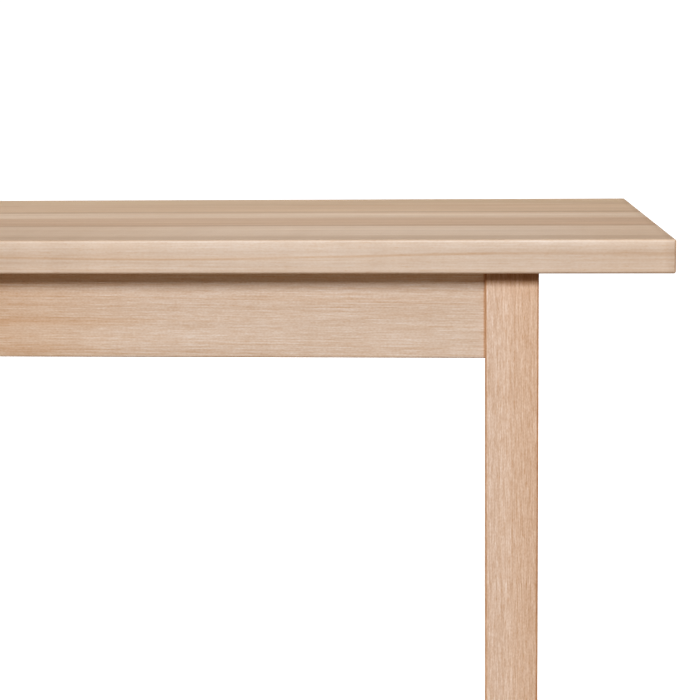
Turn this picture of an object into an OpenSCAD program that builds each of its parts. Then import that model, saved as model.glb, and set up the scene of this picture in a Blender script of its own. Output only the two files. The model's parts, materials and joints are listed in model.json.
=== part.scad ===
// Communion table: an edge-glued hardwood top, held by wooden buttons on a
// mortise-and-tenon leg frame that stands on four adjustable feet.
// Millimetres, +Z up. The origin is on the floor under the middle of the top,
// the length runs along X, and the front is -Y.

/* [Table] */
// Length of the top
table_length = 1500; // [1300:10:1900]
// Depth of the top, front to rear
table_depth = 700; // [660:10:760]
// Height of the top's upper face above the floor
table_height = 760; // [720:5:800]
// How far the top passes the legs at each end
end_overhang = 148; // [60:1:200]
// How far the legs stand back from the top's front and rear edges
front_setback = 20; // [10:1:40]

/* [Top] */
// Thickness of the top
top_thickness = 38; // [34:1:50]
// Radius of the rounded arrises on the top and the legs
arris = 3; // [1.5:0.5:4]

/* [Frame] */
// Side of the square legs
leg_side = 60; // [56:1:70]
// Height of the aprons
apron_height = 98; // [90:1:120]
// Thickness of the aprons
apron_thickness = 24; // [22:1:28]
// How far the aprons stand back from the legs' outer faces
apron_recess = 6; // [3:1:8]
// Distance of each cross bearer from the middle of the table
bearer_offset = 240; // [200:10:280]

/* [Feet] */
// Gap between the leg and the floor with the foot screwed right in
foot_gap = 10; // [9:0.5:14]
// Length of the foot's threaded stem inside the leg
stem_length = 45; // [40:1:50]
// Diameter of the foot's pad
pad_diameter = 32; // [28:1:40]

/* [Hidden] */
$fn = 64;
corners = ["front_left", "front_right", "rear_left", "rear_right"];
ends = ["left", "right"];
board_shares = [188, 136, 92, 146, 138];
board_count = len(board_shares);
button_places = [-400, -80, 80, 400];
button_end_places = [-90, 90];

// Clearances
glue_gap = 0.1;
run_gap = 0.05;

// Heights and planes of the frame
under_top = table_height - top_thickness;
apron_bottom = under_top - apron_height;
leg_x = table_length / 2 - end_overhang - leg_side / 2;
leg_y = table_depth / 2 - front_setback - leg_side / 2;
apron_in = leg_side / 2 - apron_recess - apron_thickness;
inner_x = leg_x + apron_in;
inner_y = leg_y + apron_in;
span_x = 2 * (leg_x - leg_side / 2);
span_y = 2 * (leg_y - leg_side / 2);

// Loose tongues between the boards
tongue_width = 20;
tongue_thickness = 6;
tongue_end = 60;

// Apron tenons, each with a haunch up to the top of the leg
tenon_thickness = 10;
tenon_length = 32;
tenon_shoulder = 10;
haunch_height = 25;
haunch_length = 10;
mortise_floor_gap = 1;
rail_arris = 2;

// Groove along the aprons' inner faces, and the buttons that hook into it
groove_below_top = 14;
groove_height = 8;
groove_depth = 9;
button_length = 28;
button_width = 30;
button_height = 25;
button_top_gap = 0.5;
button_tongue_length = 8;
button_tongue_height = 7.5;

// Cross bearers
bearer_thickness = 45;
bearer_height = 60;
bearer_tenon_length = 12;
bearer_tenon_thickness = 15;
bearer_tenon_height = 28;
bearer_tenon_lift = 6;
bearer_screw_y = 120;

// Corner braces, as plan distances from the meeting of the aprons' inner faces
brace_thickness = 25;
brace_height = 50;
brace_drop = 27;
brace_leg_gap = 2;
brace_screw_at = 76;
brace_near = leg_side + 2 * apron_in + brace_leg_gap * sqrt(2);
brace_far = brace_near + brace_thickness * sqrt(2);
brace_mid_z = under_top - brace_drop - brace_height / 2;

// Screws as [diameter, length under the head, depth of the counterbore]
button_screw = [4, 35, 5];
bearer_screw = [5, 50, 25];
brace_screw = [4.5, 30, 12];
head_ratio = 2.1;
head_height_ratio = 0.65;
head_bevel = 0.6;
head_gap = 0.4;
tip_ratio = 1.2;
tip_radius = 0.3;
recess_width = 0.9;
recess_depth = 1.2;

// Feet: an M8 stem in a threaded insert, with a swivelling pad
stem_radius = 4;
stem_bevel = 1;
insert_radius = 6;
insert_length = 18;
flange_radius = 8.5;
flange_thickness = 1.2;
stem_hole_extra = 10;
pad_height = 5;
pad_rim = 2.2;
pad_bevel = 0.6;
pad_slope = 2.2;
hub_radius = 10;
socket_floor = 1.5;
swivel_radius = 4.2;
swivel_height = 1.1;
neck_radius = 3;
hex_across_corners = 15;
hex_gap = 0.2;

// Colours
top_wood = [0.86, 0.74, 0.61];
frame_wood = [0.85, 0.71, 0.58];
block_wood = [0.78, 0.66, 0.50];
zinc = [0.72, 0.73, 0.75];
nylon = [0.22, 0.22, 0.23];

// Buttons as [x, y, turn], where the turn points the tongue at its apron
button_spots = concat(
    [for (x = button_places) [x, -inner_y, 180]],
    [for (x = button_places) [x, inner_y, 0]],
    [for (y = button_end_places) [-inner_x, y, 90]],
    [for (y = button_end_places) [inner_x, y, -90]]
);

function sum_to(list, n) = n == 0 ? 0 : list[n - 1] + sum_to(list, n - 1);
function board_edge(n) = table_depth * (sum_to(board_shares, n) / sum_to(board_shares, board_count) - 1 / 2);

// ---- Shared shapes ----

module rounded_rect(w, d, r) {
    square([w - 2 * r, d], center = true);
    square([w, d - 2 * r], center = true);
    for (sx = [-1, 1], sy = [-1, 1])
        translate([sx * (w / 2 - r), sy * (d / 2 - r)]) circle(r);
}

// A block standing on z = 0 with every arris rounded
module rounded_block(l, w, t, r) {
    intersection() {
        linear_extrude(t) rounded_rect(l, w, r);
        translate([-l / 2, 0, t / 2]) rotate([90, 0, 90]) linear_extrude(l) rounded_rect(w, t, r);
        translate([0, w / 2, t / 2]) rotate([90, 0, 0]) linear_extrude(w) rounded_rect(l, t, r);
    }
}

// A box centred in X and Y that stands on z = 0
module post(l, w, h) {
    translate([-l / 2, -w / 2, 0]) cube([l, w, h]);
}

// A rail along X, square above and rounded along its lower arrises
module rail(l, t, h, r) {
    translate([-l / 2, 0, 0]) rotate([90, 0, 90]) linear_extrude(l) {
        translate([-t / 2, r]) square([t, h - r]);
        translate([r - t / 2, 0]) square([t - 2 * r, h]);
        for (side = [-1, 1]) translate([side * (t / 2 - r), r]) circle(r);
    }
}

// Carries a part made for the rear right corner to the named corner
module at_corner(corner) {
    left = corner == "front_left" || corner == "rear_left";
    front = corner == "front_left" || corner == "front_right";
    mirror([left ? 1 : 0, 0, 0]) mirror([0, front ? 1 : 0, 0]) children();
}

// A pan-head screw that points along +Z, seated at z = 0
module screw(size) {
    d = size[0];
    tip = d * tip_ratio;
    head = d * head_height_ratio;
    head_radius = d * head_ratio / 2;
    difference() {
        translate([0, 0, -head]) cylinder(h = head, r1 = head_radius - head_bevel, r2 = head_radius);
        for (turn = [0, 90])
            translate([0, 0, -head]) rotate(turn)
                cube([head_radius, recess_width, 2 * recess_depth], center = true);
    }
    cylinder(h = size[1] - tip, r = d / 2);
    translate([0, 0, size[1] - tip]) cylinder(h = tip, r1 = d / 2, r2 = tip_radius);
}

// The hole for a screw's shank
module shank_hole(size) {
    cylinder(h = size[1] + head_gap, r = size[0] / 2 + run_gap);
}

// The hole for a screw's shank, and a counterbore for its head that runs out past the surface
module counterbored_hole(size) {
    shank_hole(size);
    translate([0, 0, -2 * size[2]]) cylinder(h = 2 * size[2], r = size[0] * head_ratio / 2 + head_gap);
}

// ---- Where the screws sit ----

button_seat = under_top - button_top_gap - button_height + button_screw[2];
bearer_seat = under_top - bearer_height + bearer_screw[2];

module at_buttons() {
    for (spot = button_spots)
        translate([spot[0], spot[1], button_seat]) rotate(spot[2])
            translate([0, -button_length / 2, 0]) children();
}

module at_bearer_screws() {
    for (sx = [-1, 1], sy = [-1, 1])
        translate([sx * bearer_offset, sy * bearer_screw_y, bearer_seat]) children();
}

// The two screws of one brace in the rear right corner
module at_brace_screws() {
    seat = brace_screw[2];
    translate([inner_x - brace_screw_at, inner_y - seat, brace_mid_z]) rotate([-90, 0, 0]) children();
    translate([inner_x - seat, inner_y - brace_screw_at, brace_mid_z]) rotate([0, 90, 0]) children();
}

// ---- Top ----

// The room for the tongue between boards n and n + 1
module tongue_room(n, gap) {
    length = table_length - 2 * tongue_end + 2 * gap;
    thickness = tongue_thickness + 2 * gap;
    translate([0, board_edge(n), under_top + top_thickness / 2 - thickness / 2])
        post(length, tongue_width + 2 * gap, thickness);
}

module top_board(n) {
    front = board_edge(n - 1);
    rear = board_edge(n);
    color(top_wood) difference() {
        translate([0, 0, under_top]) intersection() {
            rounded_block(table_length, table_depth, top_thickness, arris);
            translate([-table_length / 2, front, 0]) cube([table_length, rear - front, top_thickness]);
        }
        for (joint = [max(1, n - 1) : min(n, board_count - 1)]) tongue_room(joint, glue_gap);
        at_buttons() shank_hole(button_screw);
        at_bearer_screws() shank_hole(bearer_screw);
    }
}

module top_tongue(n) {
    color(block_wood) tongue_room(n, 0);
}

// ---- Leg frame ----

// A tenon and its haunch, pointing along +X from x = 0, with the apron's bottom at z = 0
module tenon(gap, floor_gap) {
    width = tenon_thickness + 2 * gap;
    low = tenon_shoulder - gap;
    high = apron_height - haunch_height + gap;
    translate([0, -width / 2, low]) cube([tenon_length + floor_gap, width, high - low]);
    translate([0, -width / 2, low]) cube([haunch_length + floor_gap, width, apron_height - low + gap]);
}

module leg(corner) {
    height = under_top - foot_gap;
    inner_face = leg_side / 2;
    apron_line = leg_side / 2 - apron_recess - apron_thickness / 2;
    color(frame_wood) at_corner(corner) difference() {
        translate([leg_x, leg_y, foot_gap]) intersection() {
            rounded_block(leg_side, leg_side, height + arris, arris);
            post(leg_side, leg_side, height);
        }
        translate([leg_x - inner_face, leg_y + apron_line, apron_bottom]) tenon(glue_gap, mortise_floor_gap);
        translate([leg_x + apron_line, leg_y - inner_face, apron_bottom])
            rotate(90) tenon(glue_gap, mortise_floor_gap);
        translate([leg_x, leg_y, foot_gap]) {
            cylinder(h = 2 * flange_thickness, r = flange_radius, center = true);
            cylinder(h = flange_thickness + insert_length, r = insert_radius);
            cylinder(h = stem_length + stem_hole_extra, r = stem_radius + 4 * glue_gap);
        }
    }
}

// An apron along X: its outer face is -Y, and corner is where the other aprons' inner faces cross it
module apron(span, corner) {
    inner_face = apron_thickness / 2;
    seat = brace_screw[2];
    color(frame_wood) difference() {
        union() {
            rail(span, apron_thickness, apron_height, rail_arris);
            translate([span / 2, 0, 0]) tenon(0, 0);
            mirror([1, 0, 0]) translate([span / 2, 0, 0]) tenon(0, 0);
        }
        translate([0, inner_face, apron_height - groove_below_top - groove_height])
            post(span, 2 * groove_depth, groove_height);
        for (side = [-1, 1])
            translate([side * (corner - brace_screw_at), inner_face + seat, brace_mid_z - apron_bottom])
                rotate([90, 0, 0]) shank_hole(brace_screw);
        children();
    }
}

// The two mortises for the cross bearers in a long apron
module bearer_mortises() {
    lift = apron_height - bearer_height + bearer_tenon_lift - glue_gap;
    thickness = bearer_tenon_thickness + 2 * glue_gap;
    depth = bearer_tenon_length + mortise_floor_gap;
    for (side = [-1, 1])
        translate([side * bearer_offset, apron_thickness / 2, lift])
            post(thickness, 2 * depth, bearer_tenon_height + 2 * glue_gap);
}

module apron_front() {
    translate([0, -inner_y - apron_thickness / 2, apron_bottom]) apron(span_x, inner_x) bearer_mortises();
}

module apron_rear() {
    mirror([0, 1, 0]) apron_front();
}

module apron_left() {
    translate([-inner_x - apron_thickness / 2, 0, apron_bottom]) rotate(-90) apron(span_y, inner_y);
}

module apron_right() {
    mirror([1, 0, 0]) apron_left();
}

module cross_bearer(end) {
    side = end == "left" ? -1 : 1;
    length = 2 * (inner_y + bearer_tenon_length);
    color(block_wood) difference() {
        translate([side * bearer_offset, 0, under_top - bearer_height]) rotate(90) {
            rail(2 * inner_y, bearer_thickness, bearer_height, rail_arris);
            translate([0, 0, bearer_tenon_lift]) post(length, bearer_tenon_thickness, bearer_tenon_height);
        }
        at_bearer_screws() counterbored_hole(bearer_screw);
    }
}

module corner_brace(corner) {
    color(block_wood) at_corner(corner) difference() {
        translate([inner_x, inner_y, brace_mid_z - brace_height / 2]) linear_extrude(brace_height)
            polygon([[-brace_near, 0], [-brace_far, 0], [0, -brace_far], [0, -brace_near]]);
        at_brace_screws() counterbored_hole(brace_screw);
    }
}

// ---- Buttons and screws ----

module top_button(n) {
    spot = button_spots[n - 1];
    low = button_height + button_top_gap;
    tongue_low = groove_below_top + button_tongue_height;
    color(block_wood) difference() {
        translate([spot[0], spot[1], under_top]) rotate(spot[2])
            translate([-button_width / 2, -button_length, 0]) {
                translate([0, 0, -low]) cube([button_width, button_length, button_height]);
                translate([0, 0, -tongue_low])
                    cube([button_width, button_length + button_tongue_length, button_tongue_height]);
            }
        at_buttons() counterbored_hole(button_screw);
    }
}

module button_screws() {
    color(zinc) at_buttons() screw(button_screw);
}

module bearer_screws() {
    color(zinc) at_bearer_screws() screw(bearer_screw);
}

module brace_screws() {
    color(zinc) for (corner = corners) at_corner(corner) at_brace_screws() screw(brace_screw);
}

// ---- Adjustable feet ----

module foot_insert(corner) {
    color(zinc) at_corner(corner) translate([leg_x, leg_y, foot_gap]) difference() {
        union() {
            cylinder(h = flange_thickness, r = flange_radius);
            cylinder(h = flange_thickness + insert_length, r = insert_radius);
        }
        translate([0, 0, -1]) cylinder(h = insert_length + flange_thickness + 2, r = stem_radius + run_gap);
    }
}

// The stem: a hexagon to turn it by, the threaded part, and a swivel that snaps into the pad
module foot_stem(corner) {
    hex_low = pad_height + hex_gap;
    hex_high = foot_gap - hex_gap;
    color(zinc) at_corner(corner) translate([leg_x, leg_y, 0]) {
        translate([0, 0, socket_floor + run_gap]) {
            cylinder(h = swivel_height, r = swivel_radius);
            cylinder(h = hex_low - socket_floor, r = neck_radius);
        }
        translate([0, 0, hex_low]) cylinder(h = hex_high - hex_low, d = hex_across_corners, $fn = 6);
        translate([0, 0, hex_high]) cylinder(h = stem_length - stem_bevel, r = stem_radius);
        translate([0, 0, hex_high + stem_length - stem_bevel])
            cylinder(h = stem_bevel, r1 = stem_radius, r2 = stem_radius - stem_bevel);
    }
}

module foot_pad(corner) {
    radius = pad_diameter / 2;
    color(nylon) at_corner(corner) translate([leg_x, leg_y, 0]) difference() {
        union() {
            cylinder(h = pad_bevel, r1 = radius - pad_bevel, r2 = radius);
            translate([0, 0, pad_bevel]) cylinder(h = pad_rim - pad_bevel, r = radius);
            translate([0, 0, pad_rim]) cylinder(h = pad_slope, r1 = radius, r2 = hub_radius);
            cylinder(h = pad_height, r = hub_radius);
        }
        translate([0, 0, socket_floor]) {
            cylinder(h = swivel_height + 3 * run_gap, r = swivel_radius + run_gap);
            cylinder(h = pad_height, r = neck_radius + run_gap);
        }
    }
}

// ---- Nodes ----

for (i = [1 : board_count]) top_board(i);
for (i = [1 : board_count - 1]) top_tongue(i);
for (c = corners) leg(c);
apron_front();
apron_rear();
apron_left();
apron_right();
for (e = ends) cross_bearer(e);
for (c = corners) corner_brace(c);
for (i = [1 : len(button_spots)]) top_button(i);
button_screws();
bearer_screws();
brace_screws();
for (c = corners) foot_insert(c);
for (c = corners) foot_stem(c);
for (c = corners) foot_pad(c);
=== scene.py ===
"""Looks for the communion table: hardwood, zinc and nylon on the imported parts, and a studio around them."""

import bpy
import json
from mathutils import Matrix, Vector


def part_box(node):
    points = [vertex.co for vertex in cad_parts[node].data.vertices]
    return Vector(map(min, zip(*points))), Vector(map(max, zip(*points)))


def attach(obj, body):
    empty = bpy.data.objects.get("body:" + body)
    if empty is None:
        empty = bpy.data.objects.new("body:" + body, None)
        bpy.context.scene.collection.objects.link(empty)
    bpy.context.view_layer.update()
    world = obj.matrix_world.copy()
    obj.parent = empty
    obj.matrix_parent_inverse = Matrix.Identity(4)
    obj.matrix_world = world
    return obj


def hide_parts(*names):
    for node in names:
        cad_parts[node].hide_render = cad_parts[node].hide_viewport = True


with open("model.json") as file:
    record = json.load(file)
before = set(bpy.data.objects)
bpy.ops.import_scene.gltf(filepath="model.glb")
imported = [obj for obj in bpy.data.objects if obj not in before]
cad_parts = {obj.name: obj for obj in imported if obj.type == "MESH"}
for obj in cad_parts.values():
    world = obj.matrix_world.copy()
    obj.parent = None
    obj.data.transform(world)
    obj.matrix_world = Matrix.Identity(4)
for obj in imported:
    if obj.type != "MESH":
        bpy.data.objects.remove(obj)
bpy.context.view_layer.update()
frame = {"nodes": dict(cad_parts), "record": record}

import json
import math

import bmesh
import bpy
from mathutils import Matrix, Vector

# ---- Where things are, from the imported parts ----

leg_low, leg_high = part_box("leg_front_right")
leg_x = (leg_low.x + leg_high.x) / 2
front_low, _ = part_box("top_board_1")
_, rear_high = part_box("top_board_5")
top_front = front_low.y
top_z = rear_high.z
top_under = front_low.z
half_length = rear_high.x

CORNERS = ["front_left", "front_right", "rear_left", "rear_right"]


# ---- Node helpers ----

class Nodes:
    """Builds the node tree of a material or a world with short calls."""

    def __init__(self, owner):
        owner.use_nodes = True
        self.owner = owner
        self.tree = owner.node_tree
        self.tree.nodes.clear()

    def new(self, kind, inputs=None, **settings):
        node = self.tree.nodes.new(kind)
        for key, value in settings.items():
            setattr(node, key, value)
        for key, value in (inputs or {}).items():
            self.feed(node.inputs[key], value)
        return node

    def feed(self, socket, value):
        if isinstance(value, bpy.types.NodeSocket):
            self.tree.links.new(value, socket)
        else:
            socket.default_value = value

    def math(self, operation, a, b=0.0, c=0.0):
        return self.new("ShaderNodeMath", {0: a, 1: b, 2: c}, operation=operation).outputs[0]

    def vector(self, operation, a, b=(0.0, 0.0, 0.0)):
        node = self.new("ShaderNodeVectorMath", {0: a, 1: b}, operation=operation)
        return node.outputs["Value" if operation in ("LENGTH", "DOT_PRODUCT") else "Vector"]

    def scaled(self, vector, by):
        inputs = {0: tuple(vector), "Scale": by}
        return self.new("ShaderNodeVectorMath", inputs, operation="SCALE").outputs[0]

    def noise(self, vector, scale=1.0, detail=2.0, roughness=0.5):
        """Noise from 0 to 1 at unit scale of the vector given."""
        inputs = {"Vector": vector, "Scale": scale, "Detail": detail, "Roughness": roughness}
        return self.new("ShaderNodeTexNoise", inputs).outputs[0]

    def spread(self, value, low, high, to_low=0.0, to_high=1.0, smooth=False):
        """Takes low...high to to_low...to_high, and stays at the ends beyond them."""
        node = self.new("ShaderNodeMapRange", {0: value, 1: low, 2: high, 3: to_low, 4: to_high})
        if smooth:
            node.interpolation_type = "SMOOTHSTEP"
        return node.outputs[0]

    def mix(self, factor, a, b):
        node = self.new("ShaderNodeMix", data_type="RGBA")
        self.feed(node.inputs[0], factor)
        self.feed(node.inputs[6], a)
        self.feed(node.inputs[7], b)
        return node.outputs[2]

    def bump(self, height, distance, strength):
        inputs = {"Height": height, "Distance": distance, "Strength": strength}
        return self.new("ShaderNodeBump", inputs).outputs[0]

    def output(self, shader):
        self.new("ShaderNodeOutputMaterial", {"Surface": shader})
        return self.owner


def linear(r, g, b):
    """A colour given from 0 to 255 as a screen shows it, in the linear light that Blender uses."""
    def one(v):
        v /= 255
        return v / 12.92 if v <= 0.04045 else ((v + 0.055) / 1.055) ** 2.4
    return (one(r), one(g), one(b), 1.0)


# ---- Wood ----

WOOD_HAZE = Vector((1.0, 1.25, 1.5))  # how strongly haze takes away red, green and blue
WOOD_STAIN = Vector((0.4, 0.9, 1.5))  # the same for stain
RING_WANDER = 0.006  # how far the rings stray, in metres
FIBRE_SHARES = (0.67, 0.55, 0.50)  # of the long, the short and the broken fibres
END_GRAIN_STAIN = 0.28


def wood(name, centre, grain, across, tone, seed, pith=(0.06, -0.14), ring=0.0035, lean=0.0, tilt=0.0,
         broad=0.10, streak=0.06, fibre=(0.10, 0.14), fibre_scale=(12, 60, 350, 560), flecks=0.10,
         figure=0.03, rings=0.16, arris_wear_and_shade=0.45, patina_and_shade=0.0, end_soak_and_shade=0.0, lines=(), bands=()):
    """Solid wood. Its pattern fills the piece, so each face shows the cut that it would.

    u runs along the grain, v along across, and w is square to both, in metres from the piece's centre.
    tone is the palest colour, from 0 to 255. Two things darken it: haze, a near-neutral brown, and stain,
    an orange-brown.
    pith is where the middle of the tree lies in v and w, and ring is the width of a growth ring. lean and
    tilt slope the rings along the grain, in v and in w.
    broad, streak and figure are the haze of clouds, of streaks along the grain and of bars across it.
    rings is the stain of the late wood, and flecks that of short dark dashes.
    fibre is the haze and the stain of the fine fibres. fibre_scale is how many fit in a metre of grain, for
    the long, the short and the broken ones, and then across the grain.
    arris is the stain on the edges between faces, partly wear and partly painted shade, and
    end_soak_and_shade how much more of it there is towards the end grain, partly finish soaked into it and
    partly painted shade. patina is the stain on the face that looks up, partly aged finish and partly painted
    shade.
    lines are single growth lines as (axis, place, swing, wavelength, phase, half width, stain, from, to).
    bands are broad tone changes as (kind, axis, from, to, amount). The kind patina is haze on the upper face,
    partly aged finish and partly painted shade.
    """
    n = Nodes(bpy.data.materials.new(name))
    grain, across = Vector(grain).normalized(), Vector(across).normalized()
    third = grain.cross(across)
    coords = n.new("ShaderNodeTexCoord")
    local = n.vector("SUBTRACT", coords.outputs["Object"], tuple(centre))
    u = n.vector("DOT_PRODUCT", local, tuple(grain))
    v0 = n.vector("DOT_PRODUCT", local, tuple(across))
    w0 = n.vector("DOT_PRODUCT", local, tuple(third))
    v = n.math("ADD", v0, n.math("MULTIPLY", u, lean))

    def field(su, sv, sw, detail=2.0, roughness=0.5, offset=0.0):
        place = n.new("ShaderNodeCombineXYZ", {
            0: n.math("MULTIPLY_ADD", u, su, seed * 3.7 + offset),
            1: n.math("MULTIPLY_ADD", v, sv, seed * 1.9),
            2: n.math("MULTIPLY_ADD", w0, sw, seed * 5.3)}).outputs[0]
        return n.math("SUBTRACT", n.noise(place, 1.0, detail, roughness), 0.5)

    # Growth rings round the pith, darker towards their outer edges, and only some of them strong
    drift_v = field(1.7, 5, 5, 1.0)
    drift_w = field(1.7, 5, 5, 1.0, offset=31.0)
    rv = n.math("SUBTRACT", n.math("MULTIPLY_ADD", drift_v, 2 * RING_WANDER, v), pith[0])
    sloped = n.math("MULTIPLY_ADD", u, tilt, w0)
    rw = n.math("SUBTRACT", n.math("MULTIPLY_ADD", drift_w, 2 * RING_WANDER, sloped), pith[1])
    radius = n.math("SQRT", n.math("ADD", n.math("MULTIPLY", rv, rv), n.math("MULTIPLY", rw, rw)))
    count = n.math("DIVIDE", radius, ring)
    index = n.math("FLOOR", count)
    part = n.math("FRACT", count)
    which = n.math("ADD", index, seed * 11.0)
    chance = n.new("ShaderNodeTexWhiteNoise", {"W": which}, noise_dimensions="1D").outputs[0]
    late = n.math("MULTIPLY", n.spread(part, 0.45, 0.95, smooth=True),
                  n.spread(part, 1.0, 0.95, smooth=True))
    ring_stain = n.math("MULTIPLY", late, n.math("MULTIPLY_ADD", n.math("POWER", chance, 4.0), 1.6, 0.25))

    # Clouds, streaks, fibres, bars and flecks
    haze = n.math("MULTIPLY", field(1.2, 22, 22, 3.0), broad * 2)
    haze = n.math("ADD", haze, n.math("MULTIPLY", field(3.0, 9, 9, 2.0, offset=7.0), broad * 1.2))
    haze = n.math("ADD", haze, n.math("MULTIPLY", field(1.6, 75, 75, 3.0, 0.6, offset=13.0), streak * 2))
    *lengths, finely = fibre_scale
    fine = 0.0
    for share, along in zip(FIBRE_SHARES, lengths):
        fine = n.math("MULTIPLY_ADD", field(along, finely, finely, 0.0, offset=23.0), share, fine)
    haze = n.math("MULTIPLY_ADD", fine, fibre[0], haze)
    haze = n.math("ADD", haze, n.math("MULTIPLY", field(34, 5, 5, 2.0, offset=19.0), figure * 2))
    stain = n.math("MULTIPLY_ADD", fine, fibre[1], n.math("MULTIPLY", ring_stain, rings))
    dash = n.spread(field(120, 620, 620, 1.0, offset=3.0), 0.10, 0.26, smooth=True)
    stain = n.math("ADD", stain, n.math("MULTIPLY", dash, flecks))

    at = {"u": u, "v": v, "w": w0}
    for axis, place, swing, wavelength, phase, half, strength, low, high in lines:
        turn = n.math("MULTIPLY_ADD", u, math.tau / wavelength, phase)
        middle = n.math("MULTIPLY_ADD", n.math("SINE", turn), swing, place)
        middle = n.math("MULTIPLY_ADD", drift_w, 0.003, middle)
        away = n.math("ABSOLUTE", n.math("SUBTRACT", at[axis], middle))
        line = n.spread(away, half, 0.0, smooth=True)
        there = n.math("MULTIPLY", n.spread(u, low - 0.06, low + 0.02),
                       n.spread(u, high + 0.06, high - 0.02))
        uneven = n.math("MULTIPLY_ADD", field(9, 3, 3, 2.0, offset=41.0), 1.2, 1.0)
        drawn = n.math("MULTIPLY", n.math("MULTIPLY", line, there), n.math("MULTIPLY", uneven, strength))
        stain = n.math("ADD", stain, drawn)

    # The upper face is darker, partly aged finish and partly painted shade, and tone changes in bands
    up = n.new("ShaderNodeSeparateXYZ", {0: coords.outputs["Normal"]}).outputs[2]
    facing_up = n.spread(up, 0.5, 0.95, smooth=True)
    stain = n.math("ADD", stain, n.math("MULTIPLY", facing_up, patina_and_shade))
    for kind, axis, low, high, amount in bands:
        change = n.math("MULTIPLY", n.spread(at[axis], low, high, smooth=True), amount)
        if kind == "patina_and_shade":
            change = n.math("MULTIPLY", change, facing_up)
        if kind == "stain":
            stain = n.math("ADD", stain, change)
        else:
            haze = n.math("ADD", haze, change)

    # End grain is darker. The arrises are darker too, partly from wear and partly from painted shade, more so
    # towards the end grain
    normal = n.vector("ABSOLUTE", coords.outputs["Normal"])
    endwise = n.vector("DOT_PRODUCT", normal, tuple(abs(c) for c in grain))
    ends = n.spread(endwise, 0.75, 0.95, smooth=True)
    stain = n.math("ADD", stain, n.math("MULTIPLY", ends, END_GRAIN_STAIN))
    axes = n.new("ShaderNodeSeparateXYZ", {0: normal}).outputs
    flat = n.math("MAXIMUM", n.math("MAXIMUM", axes[0], axes[1]), axes[2])
    edge = n.spread(flat, 0.995, 0.80, smooth=True)
    # Painted shade with some wear on the edges between faces, stronger towards the end grain
    uneven_edge = n.math("MULTIPLY_ADD", field(14, 40, 40, 3.0, offset=57.0), 0.9, 1.0)
    into_grain = n.math("MULTIPLY_ADD", endwise, end_soak_and_shade, 1.0)
    edge_wear_and_shade = n.math("MULTIPLY", n.math("MULTIPLY", edge, uneven_edge), n.math("MULTIPLY", into_grain, arris_wear_and_shade))
    stain = n.math("ADD", stain, edge_wear_and_shade)

    # Haze and stain take light away from the tone, each channel by its own share
    hazed = n.scaled(WOOD_HAZE, haze)
    stained = n.scaled(WOOD_STAIN, stain)
    both = n.new("ShaderNodeSeparateXYZ", {0: n.vector("ADD", hazed, stained)}).outputs
    kept = [n.math("EXPONENT", n.math("MULTIPLY", channel, -1.0)) for channel in both]
    share = n.new("ShaderNodeCombineXYZ", {0: kept[0], 1: kept[1], 2: kept[2]}).outputs[0]
    colour = n.vector("MULTIPLY", share, linear(*tone)[:3])

    rough = n.math("ADD", n.math("MULTIPLY_ADD", field(40, 300, 300, 2.0, offset=11.0), 0.18, 0.52),
                   n.math("MULTIPLY", edge, -0.02))
    height = n.math("ADD", field(30, 900, 900, 3.0, 0.6, offset=5.0), n.math("MULTIPLY", dash, -0.8))
    shader = n.new("ShaderNodeBsdfPrincipled", {
        "Base Color": colour, "Roughness": rough, "IOR": 1.46, "Specular IOR Level": 0.30,
        "Normal": n.bump(height, 0.00012, 0.25)})
    return n.output(shader.outputs[0])


def zinc():
    """Satin zinc plating: cloudy grains, a fine grit and a few duller places."""
    n = Nodes(bpy.data.materials.new("zinc_plating"))
    place = n.new("ShaderNodeTexCoord").outputs["Object"]
    cloud = n.noise(place, 260.0, 3.0)
    grit = n.noise(place, 2400.0, 2.0)
    colour = n.mix(n.spread(cloud, 0.35, 0.65), linear(176, 178, 182), linear(204, 205, 206))
    dull = n.mix(n.spread(n.noise(place, 90.0, 2.0), 0.55, 0.75), colour, linear(168, 166, 160))
    rough = n.spread(grit, 0.3, 0.7, 0.26, 0.44)
    shader = n.new("ShaderNodeBsdfPrincipled", {
        "Base Color": dull, "Metallic": 0.6, "Roughness": rough, "Normal": n.bump(grit, 0.00003, 0.4)})
    return n.output(shader.outputs[0])


def nylon():
    """Dark moulded nylon with a fine texture and scuffs near the floor."""
    n = Nodes(bpy.data.materials.new("moulded_nylon"))
    coords = n.new("ShaderNodeTexCoord")
    place = coords.outputs["Object"]
    height = n.new("ShaderNodeSeparateXYZ", {0: place}).outputs[2]
    grain = n.noise(place, 1800.0, 2.0)
    near_floor = n.spread(height, 0.003, 0.0)
    scuff = n.math("MULTIPLY", n.spread(n.noise(place, 420.0, 3.0), 0.52, 0.66), near_floor)
    colour = n.mix(n.math("MULTIPLY", scuff, 0.6), linear(46, 46, 48), linear(120, 116, 110))
    rough = n.spread(grain, 0.3, 0.7, 0.42, 0.62)
    shader = n.new("ShaderNodeBsdfPrincipled", {
        "Base Color": colour, "Roughness": rough, "IOR": 1.53, "Normal": n.bump(grain, 0.00004, 0.5)})
    return n.output(shader.outputs[0])


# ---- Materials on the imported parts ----

X, Y, Z = (1, 0, 0), (0, 1, 0), (0, 0, 1)
SLOTS = {row["node"]: row["material_slot"] for row in frame["record"]["subparts"]}


def paint(node, material):
    for slot in frame["nodes"][node].material_slots:
        slot.material = material


def middle(node):
    low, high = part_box(node)
    return (low + high) / 2


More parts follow.
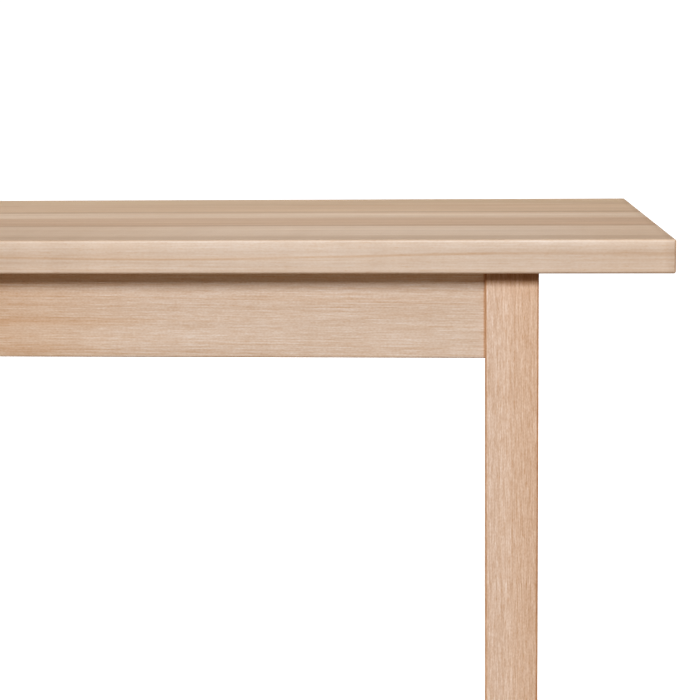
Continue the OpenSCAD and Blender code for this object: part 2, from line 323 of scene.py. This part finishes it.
# The top: each board is its own plank, so each has its own tone, pith and rings
BOARD_WOOD = {
    1: dict(tone=(222, 202, 184), pith=(0.03, -0.16), ring=0.0030, broad=0.07, figure=0.05, rings=0.06,
            lines=[("w", 0.0010, 0.0030, 0.86, -3.006, 0.0022, 0.20, -0.75, 0.56),
                   ("w", 0.0010, 0.0030, 0.86, -3.006, 0.0034, 0.10, 0.60, 0.80)],
            bands=[("haze", "w", 0.004, 0.017, -0.14), ("haze", "u", 0.22, -0.06, 0.07),
                   ("stain", "u", 0.22, 0.12, 0.03), ("stain", "u", 0.62, 0.70, 0.05),
                   ("patina_and_shade", "v", 0.036, -0.009, 0.03), ("patina_and_shade", "v", -0.028, -0.054, 0.115)]),
    2: dict(tone=(222, 197, 175), pith=(-0.05, -0.11), ring=0.0036),
    3: dict(tone=(233, 215, 198), pith=(0.04, 0.17), ring=0.0040, broad=0.12),
    4: dict(tone=(223, 200, 177), pith=(0.07, -0.12), ring=0.0034),
    5: dict(tone=(216, 194, 170), pith=(-0.04, -0.10), ring=0.0038),
}
END_SHADE = 0.09  # haze close to both ends of each board
JOINT_SHADE = {2: 0.14, 4: 0.14}  # haze along the front edge of a board, by its number
for i, look in BOARD_WOOD.items():
    node = f"top_board_{i}"
    low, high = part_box(node)
    half_width = (high.y - low.y) / 2
    look = {"broad": 0.16, "figure": 0.015, **look}
    bands = [("haze", "u", end * (half_length - 0.015), end * (half_length - 0.003), END_SHADE)
             for end in (-1, 1)]
    if i in JOINT_SHADE:
        bands.append(("haze", "v", 0.035 - half_width, 0.012 - half_width, JOINT_SHADE[i]))
    bands += look.pop("bands", [])
    paint(node, wood(f"wood_{node}", middle(node), X, Y, seed=float(i), streak=0.12, fibre=(0.06, 0.19),
                     fibre_scale=(7, 45, 350, 560), arris_wear_and_shade=0.06, end_soak_and_shade=8.0, patina_and_shade=0.20,
                     bands=bands, **look))

LEG_SEED, APRON_SEED, BRACE_SEED = 20.0, 40.0, 60.0

for i, corner in enumerate(CORNERS):
    node = f"leg_{corner}"
    side = 1 if "right" in corner else -1
    low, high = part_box(node)
    under_top = top_under - (low.z + high.z) / 2
    # A stain towards the leg's outer side, and painted shade: the leg is darker close under the top, where
    # the top's shadow falls
    bands = [("stain", "v", -side * 0.020, side * 0.025, 0.13)]
    bands += [(kind, "u", under_top - 0.018, under_top - 0.005, amount)
              for kind, amount in (("haze", 0.5), ("stain", 0.25))]
    paint(node, wood(f"wood_{node}", middle(node), Z, X, (227, 199, 177), LEG_SEED + i,
                     pith=(side * 0.09, 0.05), ring=0.0034, lean=side * 0.012, broad=0.05, streak=0.06,
                     fibre=(0.29, 0.37), fibre_scale=(36, 108, 400, 800), flecks=0.16, figure=0.02,
                     rings=0.07, arris_wear_and_shade=0.70, bands=bands))

# Painted shade: the aprons have a dark line where they meet the legs, in the corner between apron and leg
APRONS = {"apron_front": (X, Y), "apron_rear": (X, Y), "apron_left": (Y, X), "apron_right": (Y, X)}
for i, (node, (along, over)) in enumerate(APRONS.items()):
    leg_face = leg_low.x if along == X else -leg_high.y
    bands = [("stain", "u", end * (leg_face - 0.0022), end * (leg_face - 0.0004), 0.60) for end in (-1, 1)]
    if node == "apron_front":
        bands.append(("stain", "u", 0.22, -0.12, 0.26))
    lines = []
    if along == X:
        lines = [("w", 0.0215, 0.0035, 1.4, 2.6, 0.0010, 0.16, 0.30, 0.54),
                 ("w", -0.0090, 0.0010, 1.1, 0.4, 0.0095, 0.15, -0.40, 0.12),
                 ("w", -0.0070, 0.0010, 1.1, 0.4, 0.0022, 0.08, -0.40, 0.20),
                 ("w", -0.0410, 0.0010, 1.3, 1.1, 0.0085, 0.10, -0.40, 0.06)]
    paint(node, wood(f"wood_{node}", middle(node), along, over, (218, 196, 177), APRON_SEED + i,
                     pith=(0.05, 0.24), ring=0.0034, tilt=0.02, broad=0.11, streak=0.08,
                     fibre=(0.15, 0.42), fibre_scale=(12, 60, 350, 660), flecks=0.10, figure=0.03,
                     rings=0.10, arris_wear_and_shade=0.32, lines=lines, bands=bands))

# Braces, bearers, tongues and buttons: plain wood, shared by pieces whose grain runs the same way
DIAGONALS = {1: (1, 1, 0), -1: (1, -1, 0)}
PLAIN_TONE = (206, 174, 138)
brace_wood = {}
for corner in CORNERS:
    sx = 1 if "right" in corner else -1
    sy = 1 if "rear" in corner else -1
    way = -sx * sy
    if way not in brace_wood:
        along = DIAGONALS[way]
        across = DIAGONALS[-way]
        brace_wood[way] = wood(f"wood_brace_{'up' if way > 0 else 'down'}", (0, 0, 0.66), along, across,
                               (208, 176, 140), BRACE_SEED + way, pith=(0.3, 0.1), broad=0.10, arris_wear_and_shade=0.15)
    paint(f"corner_brace_{corner}", brace_wood[way])

plain_x = wood("wood_blocks_x", (0, 0, 0.7), X, Y, PLAIN_TONE, 71.0, pith=(0.2, 0.1), arris_wear_and_shade=0.15)
plain_y = wood("wood_blocks_y", (0, 0, 0.7), Y, X, PLAIN_TONE, 72.0, pith=(0.2, 0.1), arris_wear_and_shade=0.20)
for end in ("left", "right"):
    paint(f"cross_bearer_{end}", plain_y)
for i in range(1, 5):
    paint(f"top_tongue_{i}", plain_x)
for i in range(1, 13):
    low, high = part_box(f"top_button_{i}")
    paint(f"top_button_{i}", plain_x if high.x - low.x > high.y - low.y else plain_y)

zinc_material, nylon_material = zinc(), nylon()
for node, slot_name in SLOTS.items():
    if slot_name == "zinc_steel":
        paint(node, zinc_material)
    elif slot_name == "nylon":
        paint(node, nylon_material)


# ---- Threads on the feet ----

THREAD_LENGTH = 0.045  # from the hexagon to the top of the stem
THREAD_PITCH = 0.00125
CREST_RADIUS = 0.00398
ROOT_RADIUS = 0.0034
SUNK = 0.00004  # how far the ridge's foot lies inside the stem
LEAST_RIDGE = 0.00002  # how far it stands from its foot where it fades out
HALF_FOOT, HALF_CREST = 0.00055, 0.00009
STEPS_PER_TURN = 32


def thread_ridge(mesh, x, y, low, high):
    """Adds a right-hand ridge that winds up a stem and fades out over half a turn at each end."""
    steps = int((high - low) / THREAD_PITCH * STEPS_PER_TURN)
    root = ROOT_RADIUS - SUNK
    sections = []
    for i in range(steps + 1):
        angle = math.tau * i / STEPS_PER_TURN
        z = low + THREAD_PITCH * i / STEPS_PER_TURN
        grown = min(1.0, 2 * i / STEPS_PER_TURN, 2 * (steps - i) / STEPS_PER_TURN)
        crest = root + LEAST_RIDGE + (CREST_RADIUS - root - LEAST_RIDGE) * grown
        outline = ((root, -HALF_FOOT), (crest, -HALF_CREST), (crest, HALF_CREST), (root, HALF_FOOT))
        sections.append([mesh.verts.new((x + away * math.cos(angle), y + away * math.sin(angle), z + rise))
                         for away, rise in outline])
    faces = [mesh.faces.new(sections[0]), mesh.faces.new(sections[-1])]
    for a, b in zip(sections, sections[1:]):
        faces += [mesh.faces.new((a[k], a[(k + 1) % 4], b[(k + 1) % 4], b[k])) for k in range(4)]
    bmesh.ops.recalc_face_normals(mesh, faces=faces)


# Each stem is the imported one, with its rod drawn in to the thread's root
for corner in CORNERS:
    node = f"foot_stem_{corner}"
    low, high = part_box(node)
    x, y = (low.x + high.x) / 2, (low.y + high.y) / 2
    hexagon_top = high.z - THREAD_LENGTH
    shape = bmesh.new()
    shape.from_mesh(frame["nodes"][node].data)
    bmesh.ops.remove_doubles(shape, verts=shape.verts, dist=0.000001)
    for vertex in shape.verts:
        away = math.hypot(vertex.co.x - x, vertex.co.y - y)
        if vertex.co.z > hexagon_top - 0.00001 and ROOT_RADIUS < away < 0.0045:
            vertex.co.x = x + (vertex.co.x - x) * ROOT_RADIUS / away
            vertex.co.y = y + (vertex.co.y - y) * ROOT_RADIUS / away
    thread_ridge(shape, x, y, hexagon_top + 0.0007, high.z - 0.0018)
    mesh = bpy.data.meshes.new(f"threaded_stem_{corner}")
    shape.verts.index_update()
    faces = [[vertex.index for vertex in face.verts] for face in shape.faces]
    mesh.from_pydata([vertex.co for vertex in shape.verts], [], faces)
    shape.free()
    mesh.materials.append(zinc_material)
    mesh.shade_smooth()
    mesh.set_sharp_from_angle(angle=math.radians(35))
    stem = bpy.data.objects.new(f"threaded_stem_{corner}", mesh)
    bpy.context.scene.collection.objects.link(stem)
    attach(stem, f"stem_{corner}")
    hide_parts(node)


# ---- Camera ----

CAMERA_IN_FRONT = 1.76662
CAMERA_ABOVE_TOP = 0.15691
CAMERA_LEFT_OF_LEG = 0.02082
YAW, PITCH, ROLL = math.radians(4.0099), math.radians(7.2542), math.radians(-0.4776)
SENSOR_WIDTH, LENS = 36.0, 83.098
SHIFT_X, SHIFT_Y = -0.044, -0.0693

camera_data = bpy.data.cameras.new("camera")
camera_data.sensor_width = SENSOR_WIDTH
camera_data.lens = LENS
camera_data.shift_x = SHIFT_X
camera_data.shift_y = SHIFT_Y
camera_data.clip_start = 0.05
camera_data.clip_end = 60.0
camera = bpy.data.objects.new("camera", camera_data)
bpy.context.scene.collection.objects.link(camera)
right = Vector((math.cos(YAW), math.sin(YAW), 0.0))
forward = Vector((-math.sin(YAW) * math.cos(PITCH), math.cos(YAW) * math.cos(PITCH), -math.sin(PITCH)))
upward = right.cross(forward)
turned_right = right * math.cos(ROLL) + upward * math.sin(ROLL)
turned_up = upward * math.cos(ROLL) - right * math.sin(ROLL)
turn = Matrix((turned_right, turned_up, -forward)).transposed()
place = Vector((leg_x - CAMERA_LEFT_OF_LEG, top_front - CAMERA_IN_FRONT, top_z + CAMERA_ABOVE_TOP))
camera.matrix_world = Matrix.Translation(place) @ turn.to_4x4()
bpy.context.scene.camera = camera


# ---- Studio ----

bpy.context.scene.view_settings.view_transform = "Standard"
bpy.context.scene.view_settings.look = "None"


def softbox(name, azimuth, elevation, distance, width, height, strength, target=(0.0, 0.0, 0.6)):
    """A rectangular soft light. Azimuth 0 is in front of the table and 90 at its right end. strength is the
    light that falls on a surface that faces it at the target, where 1.0 shows a white surface as white."""
    data = bpy.data.lights.new(name, "AREA")
    data.shape = "RECTANGLE"
    data.size, data.size_y = width, height
    data.energy = strength * math.pi * math.pi * distance ** 2
    lamp = bpy.data.objects.new(name, data)
    bpy.context.scene.collection.objects.link(lamp)
    a, e = math.radians(azimuth), math.radians(elevation)
    away = Vector((math.sin(a) * math.cos(e), -math.cos(a) * math.cos(e), math.sin(e)))
    lamp.location = Vector(target) + away * distance
    lamp.rotation_mode = "QUATERNION"
    lamp.rotation_quaternion = away.to_track_quat("Z", "Y")
    lamp.visible_glossy = name == "key"
    lamp.visible_camera = False


softbox("key", -4, 34.9, 14.0, 6.5, 4.8, 0.895)
softbox("fill_right", 112, 8, 6.0, 2.4, 2.4, 0.42)
softbox("fill_left", -108, 8, 6.0, 2.4, 2.4, 0.42)
softbox("fill_rear", 182, 8, 6.0, 2.8, 2.0, 0.22)
softbox("top_rear", 182, 40, 1.8, 2.2, 0.9, 0.54, target=(0.0, 0.30, 0.76))

# White behind the table, and otherwise a dim light, warm from below and white from above
WHITE, WARM = (1.0, 1.0, 1.0, 1.0), (1.0, 0.68, 0.42, 1.0)
TURNS_WHITE = (-0.10, 0.20)  # the heights of a direction between which the light changes
LIGHT_BELOW, LIGHT_ABOVE = 0.30, 0.10
BACKDROP = 1.1

world = bpy.data.worlds.new("studio")
bpy.context.scene.world = world
n = Nodes(world)
direction = n.new("ShaderNodeTexCoord").outputs["Generated"]
height = n.new("ShaderNodeSeparateXYZ", {0: direction}).outputs[2]
dim = n.new("ShaderNodeBackground", {
    "Color": n.mix(n.spread(height, *TURNS_WHITE), WARM, WHITE),
    "Strength": n.spread(height, *TURNS_WHITE, LIGHT_BELOW, LIGHT_ABOVE)}).outputs[0]
white = n.new("ShaderNodeBackground", {"Color": WHITE, "Strength": BACKDROP}).outputs[0]
seen = n.new("ShaderNodeLightPath").outputs["Is Camera Ray"]
chosen = n.new("ShaderNodeMixShader", {0: seen, 1: dim, 2: white}).outputs[0]
n.new("ShaderNodeOutputWorld", {"Surface": chosen})

# The floor glows a little, so that it stays pale where the table shades it, and lights nothing
bpy.ops.mesh.primitive_plane_add(size=60.0, location=(0.0, 0.0, 0.0))
floor = bpy.context.object
floor.name = "floor"
n = Nodes(bpy.data.materials.new("pale_floor"))
shade = n.new("ShaderNodeBsdfDiffuse", {"Color": (0.8, 0.8, 0.8, 1.0)}).outputs[0]
from_table = n.vector("LENGTH", n.new("ShaderNodeTexCoord").outputs["Object"])
brightness = n.spread(from_table, 2.0, 5.0, 0.60, BACKDROP)
glow = n.new("ShaderNodeEmission", {"Color": WHITE, "Strength": brightness}).outputs[0]
floor.data.materials.append(n.output(n.new("ShaderNodeAddShader", {0: shade, 1: glow}).outputs[0]))
floor.visible_diffuse = False
floor.visible_glossy = False
